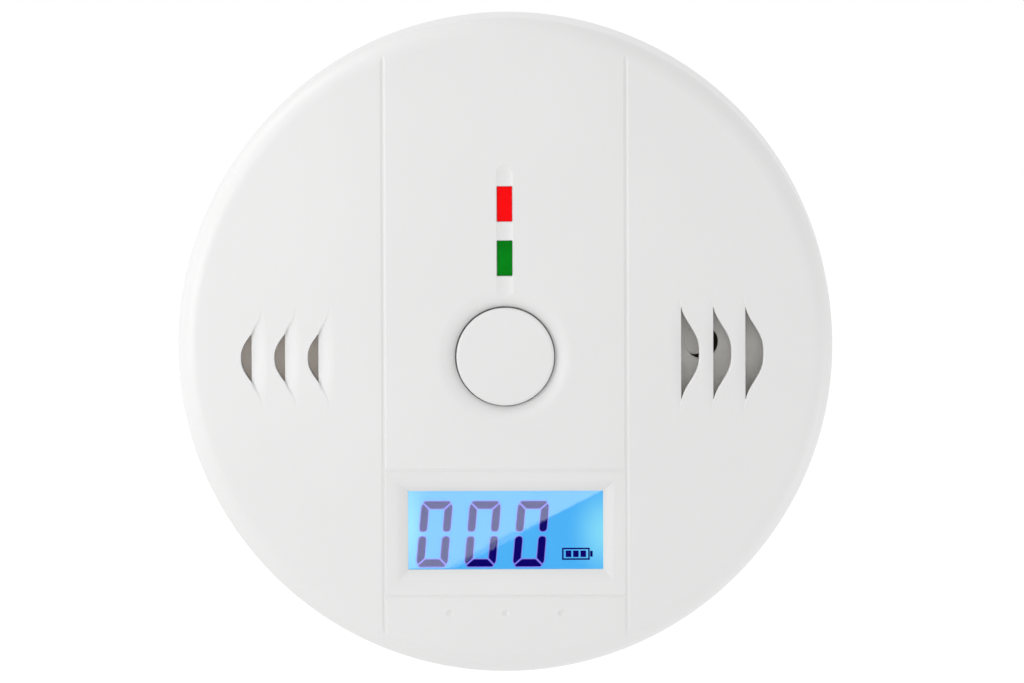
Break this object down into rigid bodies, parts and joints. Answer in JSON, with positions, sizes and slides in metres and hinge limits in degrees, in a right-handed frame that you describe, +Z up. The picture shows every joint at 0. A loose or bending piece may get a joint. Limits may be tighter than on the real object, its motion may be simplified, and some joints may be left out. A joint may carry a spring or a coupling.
{
  "type": "carbon monoxide detector",
  "caption": "Round wall-mounted carbon monoxide detector with a lit display, test button, two indicator lights and curved sound louvres, on a twist-lock plate.",
  "frame": {"origin": "centre of the mounting plate's back face, on the wall", "axes": "+Z up, +X to the right as seen from the front, the face looks along -Y and the wall is on the +Y side"},
  "size_m": [0.1, 0.038, 0.1],
  "materials": {
    "case_white": "moulded white ABS with a fine satin texture",
    "plate_white": "moulded white ABS, satin",
    "button_white": "moulded white ABS, satin",
    "black_plastic": "black moulded plastic",
    "board_green": "green solder mask on glass fibre board",
    "grey_plastic": "warm grey moulded plastic",
    "bright_metal": "nickel plated steel",
    "yellow_metal": "brass and copper",
    "can_metal": "drawn aluminium can",
    "red_lens": "red tinted, diffused epoxy lens",
    "green_lens": "green tinted, diffused epoxy lens",
    "display_glass": "liquid crystal glass with polarisers",
    "display_light": "blue back light plate",
    "window_clear": "clear glossy acrylic",
    "frame_white": "white moulded plastic",
    "strip_rubber": "layered silicone rubber",
    "cell_wrap": "printed plastic sleeve, plain blue",
    "lead_red": "red wire insulation",
    "lead_black": "black wire insulation"
  },
  "bodies": {
    "wall_plate": {"mounting_plate": "plate_white"},
    "detector": {"rear_housing": "case_white", "front_cover": "case_white", "case_screw_1": "bright_metal", "case_screw_2": "bright_metal", "case_screw_3": "bright_metal", "switch_body": "black_plastic", "circuit_board": "board_green", "microcontroller": "black_plastic", "filter_capacitor_1": "can_metal", "filter_capacitor_2": "can_metal", "step_up_coil": "yellow_metal", "crystal": "bright_metal", "trimmer": "frame_white", "co_sensor": "can_metal", "sensor_cap": "grey_plastic", "sounder_housing": "grey_plastic", "sounder_disc": "yellow_metal", "alarm_led": "red_lens", "power_led": "green_lens", "board_screw_1": "bright_metal", "board_screw_2": "bright_metal", "board_screw_3": "bright_metal", "board_screw_4": "bright_metal", "lcd_holder": "frame_white", "lcd_backlight": "display_light", "zebra_strip": "strip_rubber", "lcd_glass": "display_glass", "lcd_window": "window_clear", "battery_1": "cell_wrap", "battery_2": "cell_wrap", "battery_3": "cell_wrap", "contact_bridge_upper": "bright_metal", "contact_positive_end": "bright_metal", "contact_bridge_lower": "bright_metal", "contact_negative_end": "bright_metal", "battery_lead_red": "lead_red", "battery_lead_black": "lead_black"},
    "button": {"test_button": "button_white"},
    "plunger": {"switch_plunger": "black_plastic"}
  },
  "joints": [
    {"name": "twist_lock", "type": "hinge", "parent": "wall_plate", "child": "detector", "pos_m": [0, 0, 0], "axis": [0, -1, 0], "range_deg": [0, 12]},
    {"name": "button_press", "type": "slide", "parent": "detector", "child": "button", "axis": [0, 1, 0], "range_m": [0, 0.0006], "stiffness_N_per_m": 400},
    {"name": "switch_press", "type": "slide", "parent": "detector", "child": "plunger", "axis": [0, 1, 0], "range_m": [0, 0.0006]}
  ],
  "couplings": [
    {"joint": "switch_press", "follows": "button_press", "ratio": 1}
  ]
}
